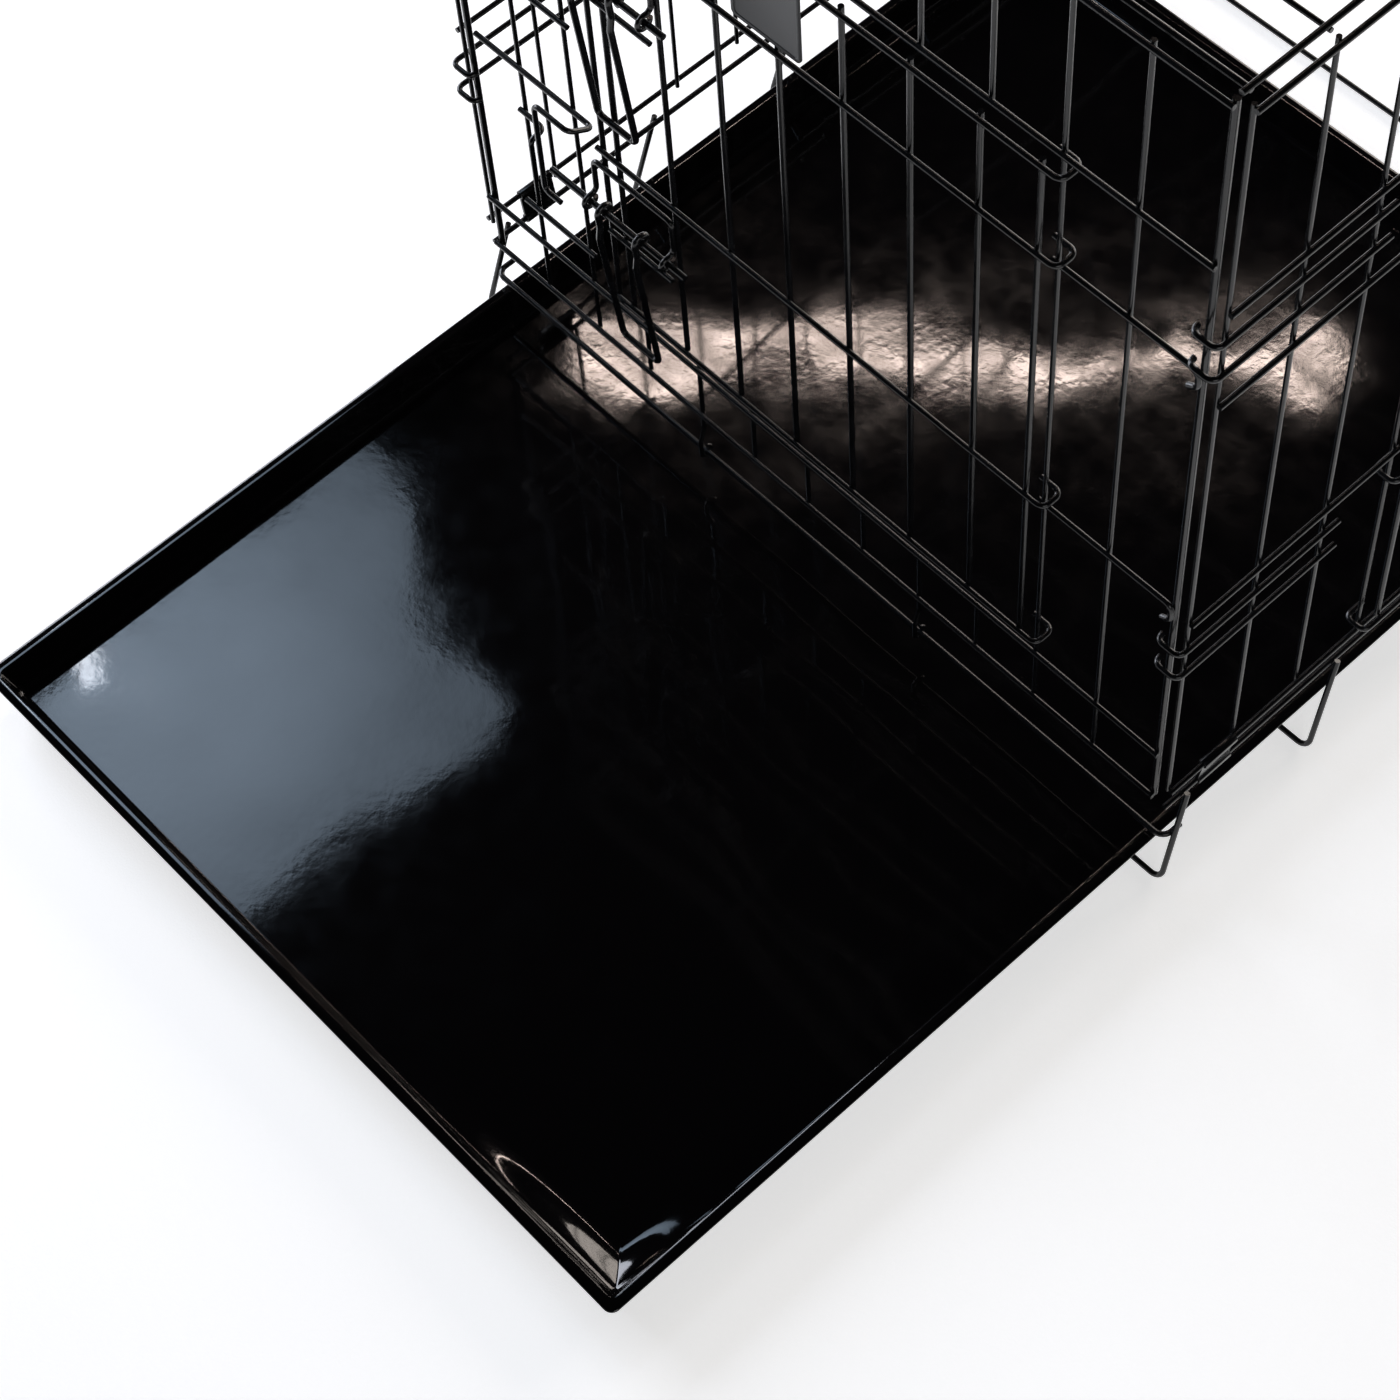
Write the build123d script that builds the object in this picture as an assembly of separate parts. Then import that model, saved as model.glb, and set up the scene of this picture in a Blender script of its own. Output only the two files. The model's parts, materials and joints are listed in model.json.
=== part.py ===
from build123d import *
import math
import os

# A folding wire pet crate with two swinging doors and a slide-out tray.
# Millimetres. +Z is up, the front panel faces -Y, and the origin is on the
# ground at the middle of the crate's footprint.

# Overall sizes: plane of the front uprights to plane of the back uprights,
# plane of one side's uprights to the other's, and ground to roof wires
crate_length = 762.0
crate_width = 492.0
roof_height = 560.0

# Wire gauges
upright_wire = 2.5
bar_wire = 3.0
post_wire = 3.6
floor_wire = 3.2
door_wire = 3.0
latch_wire = 3.6
wire_sides = 8

# Fits: play between pieces that move on each other, the bite of a spot weld,
# and how far a wire's end stands past the last wire that it is welded to
running_gap = 0.3
weld_bite = 0.05
end_overhang = 1.5

# Front and back panels
post_inset = 7.2
panel_bays = 12
panel_bottom = 65.0
panel_top_gap = 3.5
front_sill = 103.0
front_head = 465.0
stile_bar_heights = (229.0, 399.0)
back_bar_heights = (103.0, 229.0, 399.0, 465.0)
curl_drop = 10.0

# Side panels
side_bays = 17
side_end_inset = 1.5
side_bottom = 75.0
side_bar_heights = (221.0, 382.0)
side_head = 441.0
corner_hook_heights = (183.0, 202.0, 404.0, 425.0)
corner_hook_reach = 99.0
corner_hook_nose = 4.5

# Floor
rail_height = 58.0
end_rail_height = 30.0
end_rail_return = 12.0
foot_pitch = 107.0
foot_first = -5.0
foot_slant = 18.0
foot_splay = 4.0
feet_per_half = 4
foot_bend = 6.0

# Hinge eyes that hold an end panel to its floor rail, counted in bays
eye_bays = (4, 8)
eye_lead = 20.0

# Crimped sheet sleeves
sleeve_sheet = 0.8
sleeve_length = 22.0
sleeve_play = 0.05
sleeve_bays = (0, 5)
roof_sleeves_per_side = 2

# Roof
roof_edge_inset = 5.0
roof_runner_bays = (3, 6, 9)

# Doors, measured from the hinge wire along the panel
door_bays = 8
door_edge = 6.0
door_latch_gap = 28.7
door_swing = 130.0
hinge_lead = 3.4
hinge_hook_end = 6.0
hinge_hook_bend = 4.0
front_hinge_bay = 10
front_door_heights = (124.0, 236.0, 405.0, 459.0)
side_hinge_bay = 3
side_door_heights = (83.0, 207.0, 376.0, 435.0)

# Latches, measured from the door's free edge and from the bar above each
latch_drop = 39.0
bracket_rise = 26.5
bracket_reach = 5.5
bracket_length = 56.0
guide_drop = 20.5
guide_length = 46.0
bolt_reach = 34.0
bolt_tail = 13.0
bail_inset = 4.5
bail_width = 27.0
front_bail_length = 100.0
side_bail_length = 80.0
bail_standoff = 6.0
bail_shoulder = 16.0
bail_hang = 5.6
keeper_reach = 36.5
keeper_curl = 11.3
keeper_rise = 39.5
keeper_lift = 9.0
keeper_drop = 14.5
keeper_toe = 12.0
keeper_end_gap = 9.8
brace_rise = 6.5
brace_reach = 51.0
brace_depth = 12.0
brace_drop = 24.0
stub_drop = 67.5
stub_overhang = 7.0

# Nameplate
plate_width = 43.0
plate_height = 46.0
plate_sheet = 1.2
plate_centre_x = -4.5
plate_corner = 3.0
plate_rim = 2.0
plate_recess = 0.4

# Tray
tray_end_gap = 2.5
tray_side_gap = 4.0
tray_rim = 24.0
tray_wall = 2.2
tray_draft = 14.0
tray_corner = 6.0
tray_cove = 4.5
tray_lip = 3.0
tray_lip_corner = 5.0
tray_lip_sheet = 2.0
tray_drawn = 357.0

front_y = -crate_length / 2
back_y = crate_length / 2
side_x = crate_width / 2
tray_length = crate_length - 2 * tray_end_gap
tray_width = crate_width - 2 * tray_side_gap
post_x = side_x - post_inset
panel_bay = 2 * post_x / panel_bays
side_bay = (crate_length - 2 * side_end_inset) / side_bays
panel_top = roof_height - panel_top_gap


# A wire of a given gauge is an eight-sided bar of the same section area
def corner_radius(gauge):
    return gauge / 2 * math.sqrt(2 * math.pi / wire_sides / math.sin(2 * math.pi / wire_sides))


def flat_radius(gauge):
    return corner_radius(gauge) * math.cos(math.pi / wire_sides)


# Distance between the centres of two welded wires that cross
def weld_step(gauge_a, gauge_b):
    return flat_radius(gauge_a) + flat_radius(gauge_b) - weld_bite


# Radius at which a wire is bent round another that turns inside it
def eye_radius(inner_gauge, outer_gauge):
    return corner_radius(inner_gauge) + running_gap + flat_radius(outer_gauge)


def bend_points(corners, bend_radius):
    corners = [Vector(*point) for point in corners]
    points = [corners[0]]
    for before, corner, after in zip(corners, corners[1:], corners[2:]):
        back = (before - corner).normalized()
        ahead = (after - corner).normalized()
        turn = math.pi - math.radians(back.get_angle(ahead))
        cut = bend_radius * (math.tan(turn / 2) - math.tan(turn / 4))
        if math.degrees(turn) < 50:
            points.append(corner)
        else:
            points.append(corner + back * cut)
            points.append(corner + ahead * cut)
    points.append(corners[-1])
    return points


def wire(gauge, *corners, bend_radius=0.0):
    points = bend_points(corners, bend_radius)
    along = (points[1] - points[0]).normalized()
    aside = Vector(1, 0, 0) if abs(along.X) < 0.5 else Vector(0, 0, 1)
    aside = (aside - along * aside.dot(along)).normalized()
    start = Plane(origin=points[0], x_dir=aside, z_dir=along)
    section = start * RegularPolygon(corner_radius(gauge), wire_sides, rotation=180 / wire_sides)
    if len(points) == 2:
        return extrude(section, amount=(points[1] - points[0]).length).solid()
    return sweep(section, path=Polyline(*points), transition=Transition.RIGHT).solid()


def save(node, pieces):
    os.makedirs("parts", exist_ok=True)
    solids = [solid for piece in pieces for solid in piece.solids()]
    export_step(Compound(children=solids), f"parts/{node}.step")
    print(node, len(solids), "solids")


# Places on a panel: along it, out from its uprights' plane, and up.
# end is -1 at the front and 1 at the back; hand is 1 on the right and -1 on the left.
def on_end(end):
    return lambda x, out, z: (x, end * (crate_length / 2 + out), z)


def on_side(hand):
    return lambda y, out, z: (hand * (side_x + out), y, z)


def on_front_door(along, out, z):
    return (front_hinge_x - along, front_y - out, z)


def on_side_door(along, out, z):
    return (side_x + out, side_hinge_y + along, z)


panel_columns = [-post_x + bay * panel_bay for bay in range(panel_bays + 1)]
side_columns = [front_y + side_end_inset + bay * side_bay for bay in range(side_bays + 1)]
front_hinge_x = panel_columns[front_hinge_bay]
side_hinge_y = side_columns[side_hinge_bay]
panel_bar_out = weld_step(upright_wire, bar_wire)
post_out = panel_bar_out - weld_step(post_wire, bar_wire)
eye_round = eye_radius(floor_wire, upright_wire)
upright_foot = panel_bottom - end_overhang
upright_head = panel_top + end_overhang


# An upright that reaches down and is bent round the floor's end rail
def hinge_upright(place, x, top):
    eye_tip = -eye_round + flat_radius(upright_wire) * 2 + 1
    return wire(
        upright_wire,
        place(x, 0, top),
        place(x, 0, end_rail_height + eye_lead),
        place(x, eye_round, end_rail_height + eye_lead / 2),
        place(x, eye_round, end_rail_height - eye_round),
        place(x, -eye_round, end_rail_height - eye_round),
        place(x, -eye_round, end_rail_height + eye_round),
        place(x, eye_tip - eye_round / 4, end_rail_height + eye_round),
        bend_radius=eye_round,
    )


def post_pair(place):
    return [
        wire(post_wire, place(x, post_out, upright_foot), place(x, post_out, upright_head))
        for x in (-post_x, post_x)
    ]


def level_bar(place, z, start, finish, out=panel_bar_out, gauge=bar_wire):
    return wire(gauge, place(start, out, z), place(finish, out, z))


panel_bar_end = post_x + flat_radius(post_wire) - weld_bite


# A latch hangs below each of the door's two middle bars
def latch_heights(bar_heights):
    return [z - latch_drop for z in bar_heights[1:3]]


# Front panel
def build_front_panel():
    place = on_end(-1)
    doorway = range(front_hinge_bay - door_bays, front_hinge_bay + 1)
    save("front_posts", post_pair(place))

    uprights = []
    hinge_wires = []
    for bay in range(1, panel_bays):
        x = panel_columns[bay]
        inside = bay in doorway[1:-1]
        lower_top = front_sill + end_overhang if inside else upright_head
        if bay in eye_bays:
            hinge_wires.append(hinge_upright(place, x, lower_top))
        else:
            uprights.append(wire(upright_wire, place(x, 0, upright_foot), place(x, 0, lower_top)))
        if inside:
            foot = front_head - end_overhang
            uprights.append(wire(upright_wire, place(x, 0, foot), place(x, 0, upright_head)))
    save("front_uprights", uprights)
    save("front_hinge_eyes", hinge_wires)

    level = [panel_bottom, front_sill, front_head, panel_top]
    bars = [level_bar(place, z, -panel_bar_end, panel_bar_end) for z in level]
    far_jamb = panel_columns[doorway[0]]
    for z in latch_heights(front_door_heights):
        stub_start = panel_columns[doorway[0] - 1] - stub_overhang
        bars.append(level_bar(place, z - stub_drop, stub_start, far_jamb + stub_overhang))
    save("front_crossbars", bars)

    stile_bars = []
    for z in stile_bar_heights:
        stile_bars.append(
            wire(
                bar_wire,
                place(front_hinge_x - end_overhang, panel_bar_out, z),
                place(post_x, panel_bar_out, z),
                place(post_x, panel_bar_out, z - curl_drop),
                place(post_x - curl_drop / 2, panel_bar_out, z - curl_drop * 1.3),
                bend_radius=hinge_hook_bend,
            )
        )
    save("front_stile_bars", stile_bars)
    heights = latch_heights(front_door_heights)
    keepers = build_keepers(on_front_door, door_bays * panel_bay, panel_bay, heights)
    save("front_keepers", keepers)


# Back panel: the same frame with no doorway
def build_back_panel():
    place = on_end(1)
    save("back_posts", post_pair(place))
    uprights = []
    hinge_wires = []
    for bay in range(1, panel_bays):
        x = panel_columns[bay]
        if bay in eye_bays:
            hinge_wires.append(hinge_upright(place, x, upright_head))
        else:
            foot = place(x, 0, upright_foot)
            uprights.append(wire(upright_wire, foot, place(x, 0, upright_head)))
    save("back_uprights", uprights)
    save("back_hinge_eyes", hinge_wires)
    level = [panel_bottom, *back_bar_heights, panel_top]
    save("back_crossbars", [level_bar(place, z, -panel_bar_end, panel_bar_end) for z in level])


# Doors. Each is a flat grid whose level bars end in hooks round the hinge wire.
# The swing axis is hinge_lead in front of that wire, where the hooks' play puts it.
door_out = panel_bar_out + 2 * corner_radius(bar_wire) + running_gap
door_bar_out = door_out + weld_step(door_wire, door_wire)
hook_round = hinge_lead + corner_radius(upright_wire) + running_gap + corner_radius(door_wire)


def build_door(name, place, bay, heights, bail_length):
    free_edge = door_bays * bay - door_latch_gap
    columns = [door_edge, *[count * bay for count in range(1, door_bays)], free_edge]
    foot = heights[0] - end_overhang
    head = heights[-1] + end_overhang
    uprights = [wire(door_wire, place(s, door_out, foot), place(s, door_out, head)) for s in columns]
    save(f"{name}_uprights", uprights)
    bars = []
    for z in heights:
        bars.append(
            wire(
                door_wire,
                place(free_edge + end_overhang, door_bar_out, z),
                place(-hook_round, door_bar_out, z),
                place(-hook_round, hinge_lead - hook_round, z),
                place(hinge_hook_end, hinge_lead - hook_round, z),
                bend_radius=hinge_hook_bend,
            )
        )
    save(f"{name}_hooked_bars", bars)
    brackets = []
    guides = []
    for z in latch_heights(heights):
        brackets.append(build_bracket(place, free_edge, z))
        guide_start = free_edge - end_overhang
        low = z - guide_drop
        near = place(guide_start, door_bar_out, low)
        guides.append(wire(door_wire, place(guide_start - guide_length, door_bar_out, low), near))
    save(f"{name}_latch_brackets", brackets)
    save(f"{name}_latch_guides", guides)
    for level, z in zip(("lower", "upper"), latch_heights(heights)):
        save(f"{name}_{level}_bolt", [build_bolt(place, free_edge, z)])
        save(f"{name}_{level}_bail", [build_bail(place, free_edge, z, bail_length)])


# Slide-bolt latch: a bracket whose two eyes hold the bolt, and a bail on the bolt
bracket_round = eye_radius(latch_wire, door_wire)
bail_round = eye_radius(latch_wire, latch_wire)
bolt_out = door_out + corner_radius(door_wire) + running_gap + bail_round + corner_radius(latch_wire)


def build_bracket(place, free_edge, z):
    outer = free_edge + bracket_reach
    inner = outer - bracket_length
    front = bolt_out + bracket_round
    back = bolt_out - bracket_round

    def eye(s):
        return [
            place(s, back, z + 0.5),
            place(s, back, z - bracket_round),
            place(s, front, z - bracket_round),
            place(s, front, z + bracket_round),
            place(s, door_bar_out, z + bracket_round),
            place(s, door_bar_out, z + bracket_rise),
        ]

    return wire(door_wire, *eye(outer), *reversed(eye(inner)), bend_radius=bracket_round)


def build_bolt(place, free_edge, z):
    start = free_edge + bracket_reach - bracket_length - bolt_tail
    return wire(latch_wire, place(start, bolt_out, z), place(free_edge + bolt_reach, bolt_out, z))


def build_bail(place, free_edge, z, bail_length):
    outer = free_edge - bail_inset
    inner = outer - bail_width
    tilt = math.radians(bail_hang)

    # The bail hangs with its centre of gravity under the bolt
    def hung(s, out, up):
        turned_out = out * math.cos(tilt) + up * math.sin(tilt)
        turned_up = up * math.cos(tilt) - out * math.sin(tilt)
        return place(s, bolt_out + turned_out, z + turned_up)

    def leg(s):
        return [
            hung(s, 0.2, -bail_round),
            hung(s, -bail_round, -bail_round),
            hung(s, -bail_round, bail_round),
            hung(s, bail_round, bail_round),
            hung(s, bail_round, -bail_shoulder / 2),
            hung(s, bail_standoff, -bail_shoulder),
            hung(s, bail_standoff, -bail_length),
        ]

    return wire(latch_wire, *leg(outer), *reversed(leg(inner)), bend_radius=bail_round)


# Keepers on the stile beside the doorway: a bent wire whose upright run stands in
# front of the shot bolt's tip, and a short brace below it
def build_keepers(place, doorway, bay, heights):
    free_edge = doorway - door_latch_gap
    stile_end = doorway + 2 * bay - keeper_end_gap
    catch = free_edge + keeper_reach
    catch_out = bolt_out + corner_radius(latch_wire) + running_gap + corner_radius(bar_wire)
    curl = free_edge + keeper_curl
    keepers = []
    for z in heights:
        top = z + keeper_rise
        keepers.append(
            wire(
                bar_wire,
                place(stile_end, panel_bar_out, top),
                place(curl, panel_bar_out, top),
                place(curl, catch_out, top + keeper_lift),
                place(catch, catch_out, top + keeper_lift),
                place(catch, catch_out, z - keeper_drop),
                place(catch - keeper_toe, catch_out, z - keeper_drop),
                bend_radius=hinge_hook_bend,
            )
        )
        root = doorway + bay + end_overhang
        hook = free_edge + brace_reach
        keepers.append(
            wire(
                bar_wire,
                place(root, panel_bar_out, z + brace_rise),
                place(hook, panel_bar_out, z + brace_rise),
                place(hook, brace_depth, z + brace_rise),
                place(hook, brace_depth, z - brace_drop),
                bend_radius=hinge_hook_bend,
            )
        )
    return keepers


# Side panels. The right one has the second doorway.
def build_side(name, hand):
    place = on_side(hand)
    has_door = hand > 0
    near_jamb = side_hinge_bay
    far_jamb = side_hinge_bay + door_bays
    foot = side_bottom - end_overhang
    head = roof_height
    uprights = []
    for bay, y in enumerate(side_columns):
        low = foot
        if has_door and near_jamb < bay < far_jamb:
            low = side_head - end_overhang
        uprights.append(wire(upright_wire, place(y, 0, low), place(y, 0, head)))
    save(f"{name}_uprights", uprights)

    start = side_columns[0] - end_overhang
    finish = side_columns[-1] + end_overhang
    bars = [level_bar(place, z, start, finish) for z in (side_bottom, side_head)]
    top_z = roof_height - end_overhang
    bars.append(level_bar(place, top_z, start, finish))
    for z in side_bar_heights:
        if has_door:
            bars.append(level_bar(place, z, start, side_columns[near_jamb] + end_overhang))
            bars.append(level_bar(place, z, side_columns[far_jamb] - end_overhang, finish))
        else:
            bars.append(level_bar(place, z, start, finish))
    save(f"{name}_crossbars", bars)

    # Hooks that hold the end panels: each runs along the side, crosses in front of
    # the end panel's post and turns back behind it
    post_edge = post_x - corner_radius(post_wire)
    nose_out = post_edge - 2 * running_gap - corner_radius(bar_wire) - side_x
    cross_out = corner_radius(post_wire) + corner_radius(bar_wire) + 2.5
    for end, panel in ((-1, "front"), (1, "back")):
        edge = end * crate_length / 2
        hooks = []
        for z in corner_hook_heights:
            hooks.append(
                wire(
                    bar_wire,
                    place(edge - end * corner_hook_reach, panel_bar_out, z),
                    place(edge + end * cross_out, panel_bar_out, z),
                    place(edge + end * cross_out, nose_out, z),
                    place(edge + end * (cross_out - corner_hook_nose), nose_out, z),
                    bend_radius=hinge_hook_bend,
                )
            )
        save(f"{name}_{panel}_hooks", hooks)


# Floor: two long rails, an end rail at the front and one at the back, and the
# foot wires, which run down from the rails, under the tray and up again
foot_z = flat_radius(floor_wire)
foot_top_out = weld_step(floor_wire, floor_wire)
foot_low_out = foot_top_out + foot_splay


def build_floor():
    rails = []
    for hand in (-1, 1):
        rails.append(
            wire(
                floor_wire,
                (hand * side_x, front_y, rail_height),
                (hand * side_x, back_y, rail_height),
            )
        )
    save("floor_side_rails", rails)

    share = (rail_height - end_rail_height) / (rail_height - foot_z)
    rail_x = side_x + foot_top_out + foot_splay * share - weld_step(floor_wire, floor_wire)
    for end, name in ((-1, "floor_front_rail"), (1, "floor_back_rail")):
        edge = end * crate_length / 2
        inner = edge - end * end_rail_return
        rail = wire(
            floor_wire,
            (-rail_x, inner, end_rail_height),
            (-rail_x, edge, end_rail_height),
            (rail_x, edge, end_rail_height),
            (rail_x, inner, end_rail_height),
            bend_radius=foot_bend,
        )
        save(name, [rail])

    feet = []
    for end in (-1, 1):
        for count in range(feet_per_half):
            low_y = end * (crate_length / 2 - foot_first - count * foot_pitch)
            high_y = low_y - end * foot_slant
            top = rail_height + end_overhang
            feet.append(
                wire(
                    floor_wire,
                    (-side_x - foot_top_out, high_y, top),
                    (-side_x - foot_low_out, low_y, foot_z),
                    (side_x + foot_low_out, low_y, foot_z),
                    (side_x + foot_top_out, high_y, top),
                    bend_radius=foot_bend,
                )
            )
    save("floor_feet", feet)


# A sheet sleeve crimped round two parallel wires
def build_sleeve(wire_a, gauge_a, wire_b, gauge_b, middle_y):
    plane = Plane(origin=(0, middle_y - sleeve_length / 2, 0), x_dir=(1, 0, 0), z_dir=(0, 1, 0))
    outline = None
    holes = []
    for (x, z), gauge in ((wire_a, gauge_a), (wire_b, gauge_b)):
        bore = (corner_radius(gauge) + sleeve_play) / math.cos(math.pi / wire_sides)
        barrel = bore + sleeve_sheet
        turn = 180 / wire_sides
        outer = Pos(x, -z) * RegularPolygon(barrel, wire_sides, rotation=turn)
        outline = outer if outline is None else outline + outer
        holes.append(Pos(x, -z) * RegularPolygon(bore, wire_sides, rotation=turn))
    run = Vector(wire_b[0] - wire_a[0], wire_a[1] - wire_b[1])
    web_angle = math.degrees(math.atan2(run.Y, run.X))
    web = Pos((wire_a[0] + wire_b[0]) / 2, -(wire_a[1] + wire_b[1]) / 2) * Rot(0, 0, web_angle)
    outline += web * Rectangle(run.length, 2 * sleeve_sheet)
    for hole in holes:
        outline -= hole
    return extrude(plane * outline, amount=sleeve_length)


roof_bar_z = roof_height + weld_step(upright_wire, bar_wire)
roof_edge_x = side_x - roof_edge_inset


def build_sleeves(name, hand):
    low = (hand * side_x, rail_height)
    high = (hand * (side_x + panel_bar_out), side_bottom)
    sleeves = []
    for end in (-1, 1):
        for bay in sleeve_bays:
            next_upright = crate_length / 2 - side_end_inset - (bay + 1) * side_bay
            beside = corner_radius(upright_wire) + running_gap + sleeve_length / 2
            middle = end * (next_upright + beside)
            sleeves.append(build_sleeve(low, floor_wire, high, bar_wire, middle))
    save(f"{name}_floor_sleeves", sleeves)
    edge = (hand * roof_edge_x, roof_bar_z)
    top = (hand * (side_x + panel_bar_out), roof_height - end_overhang)
    sleeves = []
    for count in range(roof_sleeves_per_side):
        bay = round((count + 0.5) * side_bays / roof_sleeves_per_side)
        middle = front_y + side_end_inset + (bay - 0.5) * side_bay
        sleeves.append(build_sleeve(edge, bar_wire, top, bar_wire, middle))
    save(f"{name}_roof_sleeves", sleeves)


def build_roof():
    cross = []
    for y in side_columns[1:-1]:
        reach = roof_edge_x + end_overhang
        cross.append(wire(upright_wire, (-reach, y, roof_height), (reach, y, roof_height)))
    save("roof_cross_wires", cross)
    runners = [panel_columns[bay] for bay in roof_runner_bays]
    runners = [wire(bar_wire, (x, front_y, roof_bar_z), (x, back_y, roof_bar_z)) for x in runners]
    save("roof_runners", runners)
    edges = []
    for hand in (-1, 1):
        x = hand * roof_edge_x
        edges.append(wire(bar_wire, (x, front_y, roof_bar_z), (x, back_y, roof_bar_z)))
    save("roof_edge_wires", edges)
    end_z = roof_bar_z - weld_step(bar_wire, bar_wire)
    ends = []
    for y in (front_y + side_bay / 8, back_y - side_bay / 8):
        ends.append(wire(bar_wire, (-roof_edge_x, y, end_z), (roof_edge_x, y, end_z)))
    save("roof_end_wires", ends)


# Nameplate: a bare dished plate held between two of the door's bars
def build_nameplate():
    face_out = door_out + flat_radius(door_wire)
    middle = (front_door_heights[2] + front_door_heights[3]) / 2
    plane = Plane(
        origin=(plate_centre_x, front_y - face_out, middle), x_dir=(1, 0, 0), z_dir=(0, -1, 0)
    )
    plate = extrude(plane * RectangleRounded(plate_width, plate_height, plate_corner), plate_sheet)
    inner_width = plate_width - 2 * plate_rim
    inner_height = plate_height - 2 * plate_rim
    dish = RectangleRounded(inner_width, inner_height, plate_corner - plate_rim / 2)
    dish_plane = plane.offset(plate_sheet - plate_recess)
    save("nameplate", [plate - extrude(dish_plane * dish, plate_sheet)])


# Tray: one moulded pan, its walls leaning out, with a lip round the rim
def pan(width, length, depth, corner, cove):
    body = extrude(RectangleRounded(width, length, corner), amount=depth, taper=-tray_draft)
    return fillet(body.faces().sort_by(Axis.Z)[0].edges(), cove)


def build_tray():
    floor_z = 2 * flat_radius(floor_wire) + running_gap
    depth = tray_rim - floor_z
    lean = depth * math.tan(math.radians(tray_draft))
    base_width = tray_width - 2 * (tray_lip + lean)
    base_length = tray_length - 2 * (tray_lip + lean)
    outer = pan(base_width, base_length, depth, tray_corner, tray_cove)
    inner = pan(
        base_width - 2 * tray_wall,
        base_length - 2 * tray_wall,
        depth,
        tray_corner - tray_wall,
        tray_cove - tray_wall / 2,
    )
    lip = extrude(RectangleRounded(tray_width, tray_length, tray_lip_corner), tray_lip_sheet)
    body = outer + Pos(0, 0, depth - tray_lip_sheet) * lip
    body -= Pos(0, 0, tray_wall) * inner
    front_edge = front_y - tray_drawn
    save("tray", [Pos(0, front_edge + tray_length / 2, floor_z) * body])


build_floor()
for side_name, side_hand in (("left_side", -1), ("right_side", 1)):
    build_side(side_name, side_hand)
    build_sleeves(side_name, side_hand)
side_keeper_heights = latch_heights(side_door_heights)
side_keepers = build_keepers(on_side_door, door_bays * side_bay, side_bay, side_keeper_heights)
save("right_side_keepers", side_keepers)
build_roof()
build_front_panel()
build_back_panel()
build_door("front_door", on_front_door, panel_bay, front_door_heights, front_bail_length)
build_door("side_door", on_side_door, side_bay, side_door_heights, side_bail_length)
build_nameplate()
build_tray()
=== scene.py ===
import bpy
import bmesh
import json
import math
from mathutils import Matrix, Vector


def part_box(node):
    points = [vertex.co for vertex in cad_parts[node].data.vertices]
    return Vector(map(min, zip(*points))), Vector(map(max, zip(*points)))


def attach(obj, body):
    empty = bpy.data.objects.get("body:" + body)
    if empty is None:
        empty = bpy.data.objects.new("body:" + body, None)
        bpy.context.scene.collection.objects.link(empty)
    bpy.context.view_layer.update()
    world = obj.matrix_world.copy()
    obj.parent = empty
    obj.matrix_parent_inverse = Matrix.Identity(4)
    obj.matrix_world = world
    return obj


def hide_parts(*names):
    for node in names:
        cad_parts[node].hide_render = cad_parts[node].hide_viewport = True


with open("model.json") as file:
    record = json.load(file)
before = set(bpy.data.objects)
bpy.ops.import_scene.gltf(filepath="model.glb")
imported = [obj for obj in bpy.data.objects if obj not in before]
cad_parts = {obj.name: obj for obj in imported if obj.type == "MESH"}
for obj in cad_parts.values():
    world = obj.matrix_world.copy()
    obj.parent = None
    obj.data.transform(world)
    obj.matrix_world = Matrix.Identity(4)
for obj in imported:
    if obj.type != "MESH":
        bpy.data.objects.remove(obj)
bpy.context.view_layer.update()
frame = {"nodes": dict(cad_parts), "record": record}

body_of_node = {
    node: body for body, nodes in frame["record"]["behaviour"]["bodies"].items() for node in nodes
}


# Studio. A long lens looks down over the right front corner, as the photograph does.
# Position and axes were solved from the crate's three sets of parallel wires.
camera_data = bpy.data.cameras.new("studio_camera")
camera_data.lens = 88.14
camera_data.sensor_width = 36.0
camera_data.clip_end = 30.0
camera = bpy.data.objects.new("studio_camera", camera_data)
bpy.context.scene.collection.objects.link(camera)
camera_right = Vector((0.67738, 0.73373, -0.05290))
camera_down = Vector((0.60708, -0.59817, -0.52311))
camera_ahead = Vector((-0.41546, 0.32222, -0.85062))
camera.matrix_world = Matrix.Translation((0.7469, -1.0429, 1.4948)) @ Matrix(
    (camera_right, -camera_down, -camera_ahead)
).transposed().to_4x4()
bpy.context.scene.camera = camera
bpy.context.scene.view_settings.view_transform = "Standard"


def srgb(hex_colour):
    """A hex colour as the linear values that a shader socket takes."""
    steps = [int(hex_colour[i:i + 2], 16) / 255 for i in (1, 3, 5)]
    linear = [c / 12.92 if c <= 0.04045 else ((c + 0.055) / 1.055) ** 2.4 for c in steps]
    return (*linear, 1.0)


def add_node(tree, kind, links=(), **values):
    """One node in a tree: its properties and socket values by name, and its links."""
    node = tree.nodes.new(kind)
    for name, value in values.items():
        if hasattr(node, name):
            setattr(node, name, value)
        else:
            node.inputs[name.replace("_", " ")].default_value = value
    for socket, source in links:
        tree.links.new(source, node.inputs[socket])
    return node


def new_material(name):
    material = bpy.data.materials.new(name)
    material.use_nodes = True
    material.node_tree.nodes.clear()
    return material, material.node_tree


def finish_material(tree, shader, height=None, distance=0.0):
    """Joins a shader to the output, with a bump from a height in metres where one is given."""
    if height is not None:
        bump = add_node(
            tree, "ShaderNodeBump", [("Height", height)], Strength=1.0, Distance=distance
        )
        tree.links.new(bump.outputs["Normal"], shader.inputs["Normal"])
    add_node(tree, "ShaderNodeOutputMaterial", [("Surface", shader.outputs[0])])


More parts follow.
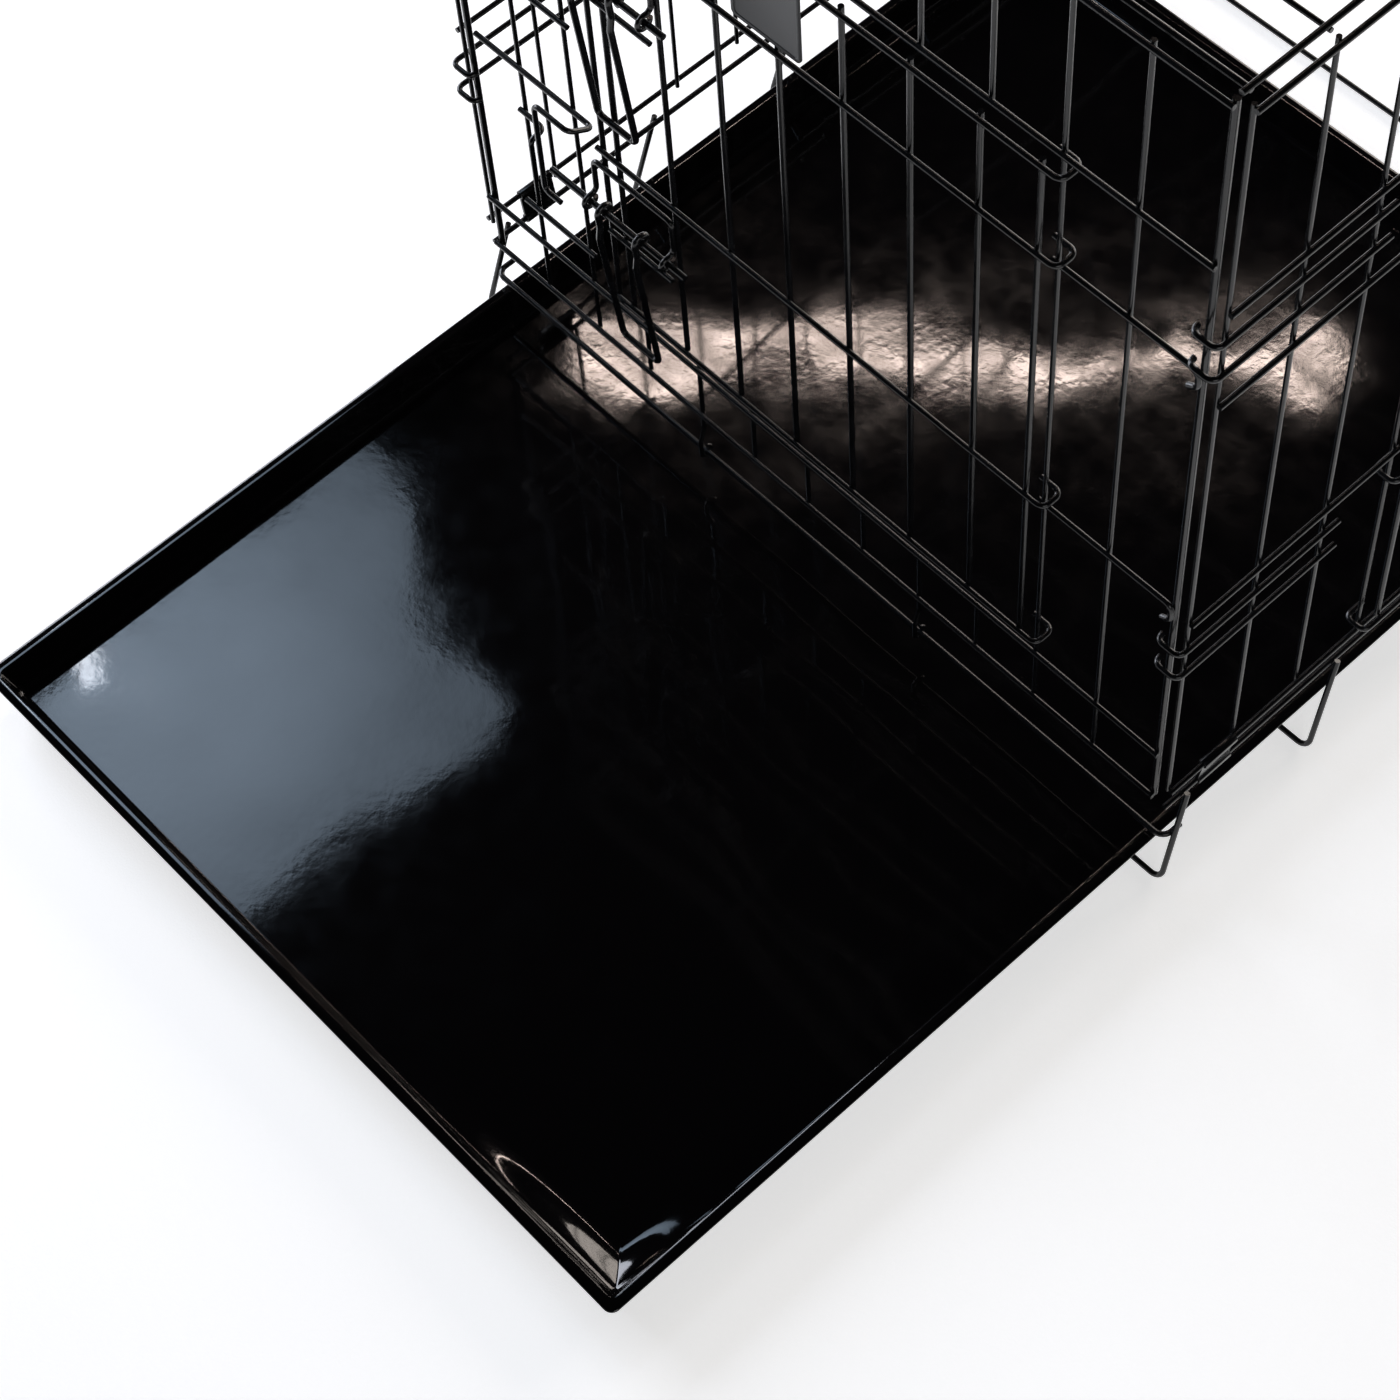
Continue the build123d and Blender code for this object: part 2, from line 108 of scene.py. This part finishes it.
# The floor is a white paper sweep that glows a little, so that it renders nearly white,
# with a fibre about 1 mm wide.
floor_paper, tree = new_material("white_paper_sweep")
where = add_node(tree, "ShaderNodeTexCoord")
fibre = add_node(
    tree, "ShaderNodeTexNoise", [("Vector", where.outputs["Object"])], Scale=900.0, Detail=3.0
)
paper = add_node(tree, "ShaderNodeBsdfPrincipled", Base_Color=srgb("#f4f4f5"), Roughness=0.9)
paper.inputs["Emission Color"].default_value = srgb("#ffffff")
paper.inputs["Emission Strength"].default_value = 0.60
finish_material(tree, paper, fibre.outputs["Fac"], 0.0001)

sweep_mesh = bpy.data.meshes.new("paper_sweep")
reach = 6.0
under_feet = -0.0005
sweep_outline = ((-reach, -reach), (reach, -reach), (reach, reach), (-reach, reach))
sweep_mesh.from_pydata([(x, y, under_feet) for x, y in sweep_outline], [], [(0, 1, 2, 3)])
sweep_mesh.materials.append(floor_paper)
sweep = bpy.data.objects.new("paper_sweep", sweep_mesh)
bpy.context.scene.collection.objects.link(sweep)


def softbox(name, place, target, width, height, watts, colour):
    """A rectangular lamp at place that faces target; cameras don't see it directly."""
    lamp = bpy.data.lights.new(name, "AREA")
    lamp.shape = "RECTANGLE"
    lamp.size, lamp.size_y = width, height
    lamp.energy = watts
    lamp.color = srgb(colour)[:3]
    holder = bpy.data.objects.new(name, lamp)
    bpy.context.scene.collection.objects.link(holder)
    facing = (Vector(target) - Vector(place)).to_track_quat("-Z", "Y")
    holder.matrix_world = Matrix.Translation(place) @ facing.to_matrix().to_4x4()
    holder.visible_camera = False


# Lamps: two that the tray mirrors, a cool core and a warm strip, then large
# fills to the left, the back and the right, which the tray's floor doesn't mirror.
tray_middle = (0.0, -0.5, 0.0)
softbox("cool_core", (-1.61, -0.16, 2.19), (-0.2, -0.68, 0.0), 0.05, 0.16, 0.45, "#eef4ff")
softbox("warm_strip", (-1.22, 0.95, 2.20), (-0.05, -0.25, 0.0), 1.00, 0.020, 2.3, "#ffe8dc")
softbox("left_fill", (-2.6, -0.6, 1.0), tray_middle, 2.0, 1.2, 70.0, "#eef3ff")
softbox("back_fill", (-0.3, 2.9, 1.3), tray_middle, 2.6, 1.2, 60.0, "#fff4ea")
softbox("right_fill", (2.6, -1.2, 1.6), tray_middle, 1.6, 1.2, 14.0, "#ffffff")

# The cool softbox is a cloth panel with its lamp near one corner, so it fades across.
panel_height = 2.2
panel_cloth, tree = new_material("lit_softbox_cloth")
where = add_node(tree, "ShaderNodeTexCoord")
from_lamp = add_node(
    tree, "ShaderNodeVectorMath", [(0, where.outputs["Object"])], operation="DISTANCE"
)
from_lamp.inputs[1].default_value = (-1.60, -0.16, panel_height)
fade = add_node(
    tree,
    "ShaderNodeMapRange",
    [("Value", from_lamp.outputs["Value"])],
    From_Min=0.0,
    From_Max=0.55,
    To_Min=8.0,
    To_Max=1.9,
)
glow = add_node(
    tree, "ShaderNodeEmission", [("Strength", fade.outputs["Result"])], Color=srgb("#b4c8de")
)
finish_material(tree, glow)
panel_mesh = bpy.data.meshes.new("cool_panel")
panel_outline = (
    (-1.66, -0.31),
    (-1.23, -0.33),
    (-1.21, 0.16),
    (-1.40, 0.19),
    (-1.52, 0.30),
    (-1.66, 0.29),
)
panel_mesh.from_pydata(
    [(x, y, panel_height) for x, y in panel_outline], [], [(5, 4, 3, 2, 1, 0)]
)
panel_mesh.materials.append(panel_cloth)
cool_panel = bpy.data.objects.new("cool_panel", panel_mesh)
bpy.context.scene.collection.objects.link(cool_panel)
cool_panel.visible_camera = False

world = bpy.data.worlds.new("dim_studio")
world.use_nodes = True
world.node_tree.nodes["Background"].inputs["Color"].default_value = srgb("#5a5d63")
world.node_tree.nodes["Background"].inputs["Strength"].default_value = 0.03
bpy.context.scene.world = world


# Floor frame. Two long rails, a bent rail at each end and eight foot wires, all drawn
# mild steel wire, cut, bent and spot-welded, then dipped in black electro-coat. The coat
# is a satin black whose sheen varies in patches about 22 mm wide, over a skin of 0.7 mm.
coat, tree = new_material("black_electro_coat")
where = add_node(tree, "ShaderNodeTexCoord")
patches = add_node(
    tree, "ShaderNodeTexNoise", [("Vector", where.outputs["Object"])], Scale=45.0, Detail=4.0
)
skin = add_node(
    tree, "ShaderNodeTexNoise", [("Vector", where.outputs["Object"])], Scale=1400.0, Detail=2.0
)
tone = add_node(tree, "ShaderNodeValToRGB", [("Fac", patches.outputs["Fac"])])
tone.color_ramp.elements[0].position = 0.35
tone.color_ramp.elements[0].color = srgb("#08080a")
tone.color_ramp.elements[1].position = 0.72
tone.color_ramp.elements[1].color = srgb("#101114")
sheen = add_node(
    tree,
    "ShaderNodeMapRange",
    [("Value", patches.outputs["Fac"])],
    From_Min=0.3,
    From_Max=0.7,
    To_Min=0.17,
    To_Max=0.28,
)
coat_shader = add_node(
    tree,
    "ShaderNodeBsdfPrincipled",
    [("Base Color", tone.outputs["Color"]), ("Roughness", sheen.outputs["Result"])],
)
coat_shader.inputs["IOR"].default_value = 1.42
coat_shader.inputs["Coat Weight"].default_value = 0.15
coat_shader.inputs["Coat Roughness"].default_value = 0.12
finish_material(tree, coat_shader, skin.outputs["Fac"], 0.00004)


def round_wire_tree():
    """Nodes that draw a round bar along each path, rounding every bend."""
    group = bpy.data.node_groups.new("round_wire", "GeometryNodeTree")
    face = group.interface
    face.new_socket("Geometry", in_out="INPUT", socket_type="NodeSocketGeometry")
    face.new_socket("Wire radius", in_out="INPUT", socket_type="NodeSocketFloat")
    face.new_socket("Bend radius", in_out="INPUT", socket_type="NodeSocketFloat")
    face.new_socket("Sides", in_out="INPUT", socket_type="NodeSocketInt")
    face.new_socket("Finish", in_out="INPUT", socket_type="NodeSocketMaterial")
    face.new_socket("Geometry", in_out="OUTPUT", socket_type="NodeSocketGeometry")
    given = add_node(group, "NodeGroupInput").outputs
    path = add_node(group, "GeometryNodeMeshToCurve", [("Mesh", given["Geometry"])])
    bends = add_node(
        group,
        "GeometryNodeFilletCurve",
        [("Curve", path.outputs["Curve"]), ("Radius", given["Bend radius"])],
        mode="POLY",
        Count=3,
        Limit_Radius=True,
    )
    section = add_node(
        group,
        "GeometryNodeCurvePrimitiveCircle",
        [("Resolution", given["Sides"]), ("Radius", given["Wire radius"])],
    )
    bar = add_node(
        group,
        "GeometryNodeCurveToMesh",
        [("Curve", bends.outputs["Curve"]), ("Profile Curve", section.outputs["Curve"])],
        Fill_Caps=True,
    )
    real = add_node(group, "GeometryNodeRealizeInstances", [("Geometry", bar.outputs["Mesh"])])
    painted = add_node(
        group,
        "GeometryNodeSetMaterial",
        [("Geometry", real.outputs["Geometry"]), ("Material", given["Finish"])],
    )
    add_node(group, "NodeGroupOutput", [("Geometry", painted.outputs["Geometry"])])
    return group


def merged_copy(node):
    """The node's mesh with its loose triangles joined, as a bmesh to work on."""
    copy = bmesh.new()
    copy.from_mesh(frame["nodes"][node].data)
    bmesh.ops.remove_doubles(copy, verts=copy.verts, dist=1e-6)
    return copy


def loose_solids(copy):
    """The vertex sets of the separate solids in a mesh."""
    left = set(copy.verts)
    while left:
        solid = {left.pop()}
        edge = list(solid)
        while edge:
            vertex = edge.pop()
            for link in vertex.link_edges:
                other = link.other_vert(vertex)
                if other not in solid:
                    solid.add(other)
                    edge.append(other)
        left -= solid
        yield solid


def cut_end(solid, sides):
    """The corners of one flat cut end of a wire."""
    flat = math.radians(1.0)
    nearly_round = 1.02
    faces = {face for vertex in solid for face in vertex.link_faces}
    while faces:
        patch = {faces.pop()}
        edge = list(patch)
        while edge:
            face = edge.pop()
            for link in face.edges:
                for other in link.link_faces:
                    if other in faces and other.normal.angle(face.normal, 0) < flat:
                        faces.discard(other)
                        patch.add(other)
                        edge.append(other)
        corners = {vertex for face in patch for vertex in face.verts}
        if len(corners) == sides:
            centre = sum((v.co for v in corners), Vector()) / sides
            radii = [(v.co - centre).length for v in corners]
            if max(radii) < nearly_round * min(radii):
                return corners
    return None


def centre_lines(node, sides=8):
    """Each wire's centre line: the middles of its rings of corners, from end to end."""
    copy = merged_copy(node)
    lines = []
    for solid in loose_solids(copy):
        ring = cut_end(solid, sides)
        seen = set(ring)
        line = []
        while ring:
            line.append(sum((v.co for v in ring), Vector()) / len(ring))
            ring = {link.other_vert(v) for v in ring for link in v.link_edges} - seen
            seen |= ring
        lines.append(line)
    copy.free()
    return lines


round_wire = round_wire_tree()

# Share of its nominal radius at which a round wire lies inside the CAD bar's flats
inside_flats = 0.9737


def draw_wires(node, gauge, bend=0.006, sides=14):
    """Round wires of one gauge in place of a node's eight-sided ones."""
    vertices, edges = [], []
    for line in centre_lines(node):
        start = len(vertices)
        vertices += line
        edges += [(start + i, start + i + 1) for i in range(len(line) - 1)]
    paths = bpy.data.meshes.new(node + "_paths")
    paths.from_pydata(vertices, edges, [])
    holder = bpy.data.objects.new(node + "_paths", paths)
    bpy.context.scene.collection.objects.link(holder)
    modifier = holder.modifiers.new("round_wire", "NODES")
    modifier.node_group = round_wire
    sizes = {
        "Wire radius": gauge / 2 * inside_flats,
        "Bend radius": bend,
        "Sides": sides,
        "Finish": coat,
    }
    for item in round_wire.interface.items_tree:
        if item.in_out == "INPUT" and item.name in sizes:
            modifier[item.identifier] = sizes[item.name]
    bpy.context.view_layer.update()
    seen = holder.evaluated_get(bpy.context.evaluated_depsgraph_get())
    mesh = bpy.data.meshes.new_from_object(seen)
    bpy.data.objects.remove(holder)
    for face in mesh.polygons:
        face.use_smooth = len(face.vertices) == 4
    piece = bpy.data.objects.new(node + "_round", mesh)
    bpy.context.scene.collection.objects.link(piece)
    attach(piece, body_of_node[node])
    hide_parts(node)


floor_gauge = 0.0032
for node in ("floor_side_rails", "floor_front_rail", "floor_back_rail", "floor_feet"):
    draw_wires(node, floor_gauge)


# Side panels. Thin uprights inside, level bars outside them, and at each end four short
# wires bent into hooks that hold the end panel's post.
upright_gauge = 0.0025
bar_gauge = 0.0030
for side in ("left_side", "right_side"):
    draw_wires(side + "_uprights", upright_gauge)
    draw_wires(side + "_crossbars", bar_gauge)
    draw_wires(side + "_front_hooks", bar_gauge)
    draw_wires(side + "_back_hooks", bar_gauge)
draw_wires("right_side_keepers", bar_gauge)


# Roof. Cross wires under five long bars, with a bar across each end.
draw_wires("roof_cross_wires", upright_gauge)
for node in ("roof_runners", "roof_edge_wires", "roof_end_wires"):
    draw_wires(node, bar_gauge)


# End panels. Each folds in on two uprights bent round the floor's end rail; the front
# one frames the doorway.
post_gauge = 0.0036
for end in ("front", "back"):
    draw_wires(end + "_posts", post_gauge)
    draw_wires(end + "_uprights", upright_gauge)
    draw_wires(end + "_hinge_eyes", upright_gauge)
    draw_wires(end + "_crossbars", bar_gauge)
draw_wires("front_stile_bars", bar_gauge)
draw_wires("front_keepers", bar_gauge)


# Doors. A grid whose level bars end in hooks round the hinge wire, with two latches:
# a bent bracket, a sliding rod through its eyes, and a bail looped round the rod.
door_gauge = 0.0030
latch_gauge = 0.0036
for door in ("front_door", "side_door"):
    for part in ("uprights", "hooked_bars", "latch_brackets", "latch_guides"):
        draw_wires(f"{door}_{part}", door_gauge)
    for part in ("lower_bolt", "upper_bolt", "lower_bail", "upper_bail"):
        draw_wires(f"{door}_{part}", latch_gauge)


# Sleeves. Short strips of sheet steel crimped round a pair of wires, so that the panels
# turn on each other; they are coated with the panels, and their cut edges are eased.
def eased_copy(node, width, material, segments=2):
    """A node's own shape with its sharp edges rounded."""
    copy = merged_copy(node)
    bmesh.ops.dissolve_limit(
        copy, angle_limit=math.radians(1.0), verts=copy.verts, edges=copy.edges
    )
    mesh = bpy.data.meshes.new(node + "_eased")
    copy.to_mesh(mesh)
    copy.free()
    mesh.materials.clear()
    mesh.materials.append(material)
    piece = bpy.data.objects.new(node + "_eased", mesh)
    bpy.context.scene.collection.objects.link(piece)
    easing = piece.modifiers.new("eased_edges", "BEVEL")
    easing.width = width
    easing.segments = segments
    easing.limit_method = "ANGLE"
    easing.angle_limit = math.radians(30.0)
    bpy.context.view_layer.update()
    seen = piece.evaluated_get(bpy.context.evaluated_depsgraph_get())
    eased = bpy.data.meshes.new_from_object(seen)
    piece.modifiers.clear()
    piece.data = eased
    for face in eased.polygons:
        face.use_smooth = True
    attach(piece, body_of_node[node])
    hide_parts(node)


for side in ("left_side", "right_side"):
    for part in ("floor_sleeves", "roof_sleeves"):
        eased_copy(f"{side}_{part}", 0.0004, coat)


# Nameplate. A bare pressed plate with a raised rim, on the front door's uprights between
# two bars. Its dark grey paint is duller than the wires' coat, with a grain of about
# half a millimetre.
plate_paint, tree = new_material("dark_pressed_plate")
where = add_node(tree, "ShaderNodeTexCoord")
grain = add_node(
    tree, "ShaderNodeTexNoise", [("Vector", where.outputs["Object"])], Scale=1800.0, Detail=3.0
)
plate_tone = add_node(tree, "ShaderNodeValToRGB", [("Fac", grain.outputs["Fac"])])
plate_tone.color_ramp.elements[0].color = srgb("#17181a")
plate_tone.color_ramp.elements[1].color = srgb("#202124")
plate_shader = add_node(
    tree, "ShaderNodeBsdfPrincipled", [("Base Color", plate_tone.outputs["Color"])], Roughness=0.45
)
finish_material(tree, plate_shader, grain.outputs["Fac"], 0.00006)
eased_copy("nameplate", 0.0003, plate_paint)


# Tray. One moulded pan of glossy black ABS, with walls that lean out and a rolled lip.
# Waves about 110 mm long and a peel of 4 mm make its reflections waver, and dust in
# patches of about 17 mm dulls them a little.
abs_plastic, tree = new_material("glossy_black_abs")
where = add_node(tree, "ShaderNodeTexCoord")
waves = add_node(
    tree, "ShaderNodeTexNoise", [("Vector", where.outputs["Object"])], Scale=9.0, Detail=1.0
)
peel = add_node(
    tree, "ShaderNodeTexNoise", [("Vector", where.outputs["Object"])], Scale=230.0, Detail=2.0
)
both = add_node(
    tree,
    "ShaderNodeMath",
    [(0, peel.outputs["Fac"]), (2, waves.outputs["Fac"])],
    operation="MULTIPLY_ADD",
)
both.inputs[1].default_value = 0.012
dust = add_node(
    tree, "ShaderNodeTexNoise", [("Vector", where.outputs["Object"])], Scale=60.0, Detail=6.0
)
haze = add_node(
    tree,
    "ShaderNodeMapRange",
    [("Value", dust.outputs["Fac"])],
    From_Min=0.35,
    From_Max=0.75,
    To_Min=0.045,
    To_Max=0.085,
)
abs_shader = add_node(
    tree, "ShaderNodeBsdfPrincipled", [("Roughness", haze.outputs["Result"])]
)
abs_shader.inputs["Base Color"].default_value = srgb("#070607")
abs_shader.inputs["IOR"].default_value = 1.53
finish_material(tree, abs_shader, both.outputs[0], 0.0012)

tray_low, tray_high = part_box("tray")
pan_wall = 0.0022
lip_width = 0.003
lip_sheet = 0.002
lean = math.radians(14.0)
pan_depth = tray_high.z - tray_low.z
flare = pan_depth * math.tan(lean)
floor_top = tray_low.z + pan_wall
half_wide = (tray_high.x - tray_low.x) / 2
half_long = (tray_high.y - tray_low.y) / 2
pan_centre = (tray_low + tray_high) / 2


def pan_profile():
    """(inset from the lip, height, corner radius) from the floor's middle out and back under."""
    foot = lip_width + flare
    steps = 7

    def cove(inset, height, radius, corner):
        """A rounded foot between the floor and the leaning wall."""
        run = radius / math.tan(math.radians(90.0) / 2 + lean / 2)
        arc = []
        for step in range(steps + 1):
            turn = math.radians(-90.0) + step / steps * (math.radians(90.0) - lean)
            out = -run + radius * math.cos(turn)
            up = radius + radius * math.sin(turn)
            arc.append((inset - out, height + up, max(corner + out, 0.001)))
        return arc

    inner_foot = foot + pan_wall
    inner_top = inner_foot - (pan_depth - pan_wall) * math.tan(lean)
    inner_cove = 0.0034
    inner_corner = 0.0038
    inside = cove(inner_foot, floor_top, inner_cove, inner_corner)
    inside.append((inner_top + 0.0002, tray_high.z - 0.0006, 0.0040))
    roll = 0.0009
    shoulder = roll * 0.3
    outside = [
        (inner_top - 0.0001, tray_high.z - 0.0001, 0.0042),
        (inner_top - 0.0007, tray_high.z, 0.0044),
        (roll, tray_high.z, 0.0043),
        (shoulder, tray_high.z - shoulder, 0.0048),
        (0.0, tray_high.z - roll, 0.005),
        (shoulder, tray_high.z - lip_sheet + shoulder, 0.0048),
        (roll, tray_high.z - lip_sheet, 0.0043),
    ]
    outer_cove = 0.0045
    outer_corner = 0.006
    under = cove(foot, tray_low.z, outer_cove, outer_corner)
    wall_top = foot - (pan_depth - lip_sheet) * math.tan(lean)
    outside.append((wall_top, tray_high.z - lip_sheet, outer_corner))
    return inside + outside + under[::-1]


def pan_ring(inset, height, corner, corner_steps=10, side_steps=36):
    """One rounded rectangle round the pan, with points along its sides too."""
    ring = []
    for quarter, (sx, sy) in enumerate(((1, 1), (-1, 1), (-1, -1), (1, -1))):
        cx = pan_centre.x + sx * (half_wide - inset - corner)
        cy = pan_centre.y + sy * (half_long - inset - corner)
        for step in range(corner_steps + 1):
            turn = math.radians(90.0) * (quarter + step / corner_steps)
            x = cx + corner * math.cos(turn)
            y = cy + corner * math.sin(turn)
            ring.append(Vector((x, y, height)))
        following = ((-1, 1), (-1, -1), (1, -1), (1, 1))[quarter]
        turn = math.radians(90.0) * (quarter + 1)
        goal = Vector((
            pan_centre.x + following[0] * (half_wide - inset - corner) + corner * math.cos(turn),
            pan_centre.y + following[1] * (half_long - inset - corner) + corner * math.sin(turn),
            height,
        ))
        begin = ring[-1]
        ring += [begin.lerp(goal, step / side_steps) for step in range(1, side_steps)]
    return ring


def corner_lift(point):
    """How far the floor curves up to its walls near the right front corner.

    The rise was chosen to give the highlight seen there, and isn't a known size.
    """
    wall_foot = lip_width + flare
    from_front = point.y - tray_low.y - wall_foot
    from_right = tray_high.x - point.x - wall_foot
    rise = 0.0080
    width = 0.022
    along_front = 0.100
    along_right = 0.035

    def ramp(distance):
        close = min(1.0, max(0.0, 1.0 - distance / width))
        return rise * close * close * (3 - 2 * close)

    front = ramp(from_front) * math.exp(-((from_right / along_front) ** 2))
    right = ramp(from_right) * math.exp(-((from_front / along_right) ** 2))
    shallower = 1.0 - (point.z - floor_top) / (tray_high.z - floor_top)
    return max(front, right) * shallower


# Rings of the floor, wide apart in its middle and close beside the walls, then the
# profile's. The lift takes in the floor, the inner foot and the inner wall's top.
wide_insets = (0.190, 0.120, 0.080, 0.050, 0.036)
close_insets = (0.0325 - 0.0015 * step for step in range(14))
floor_insets = (*wide_insets, *close_insets)
floor_corner = 0.002
foot_and_wall_rings = 9
rings = [pan_ring(inset, floor_top, floor_corner) for inset in floor_insets]
rings += [pan_ring(*level) for level in pan_profile()]
lifted = len(floor_insets) + foot_and_wall_rings
for ring in rings[:lifted]:
    for point in ring:
        point.z += corner_lift(point)
count = len(rings[0])
vertices = [point for ring in rings for point in ring]
faces = []
for level in range(len(rings) - 1):
    for i in range(count):
        j = (i + 1) % count
        low, high = level * count, (level + 1) * count
        faces.append((low + i, low + j, high + j, high + i))
faces.append(tuple(reversed(range(count))))
faces.append(tuple(range((len(rings) - 1) * count, len(rings) * count)))
pan_mesh = bpy.data.meshes.new("tray_pan")
pan_mesh.from_pydata(vertices, [], faces)
shell = bmesh.new()
shell.from_mesh(pan_mesh)
bmesh.ops.recalc_face_normals(shell, faces=shell.faces)
shell.to_mesh(pan_mesh)
shell.free()
pan_mesh.materials.append(abs_plastic)
for face in pan_mesh.polygons:
    face.use_smooth = len(face.vertices) == 4
pan = bpy.data.objects.new("tray_pan", pan_mesh)
bpy.context.scene.collection.objects.link(pan)
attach(pan, "tray")
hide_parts("tray")
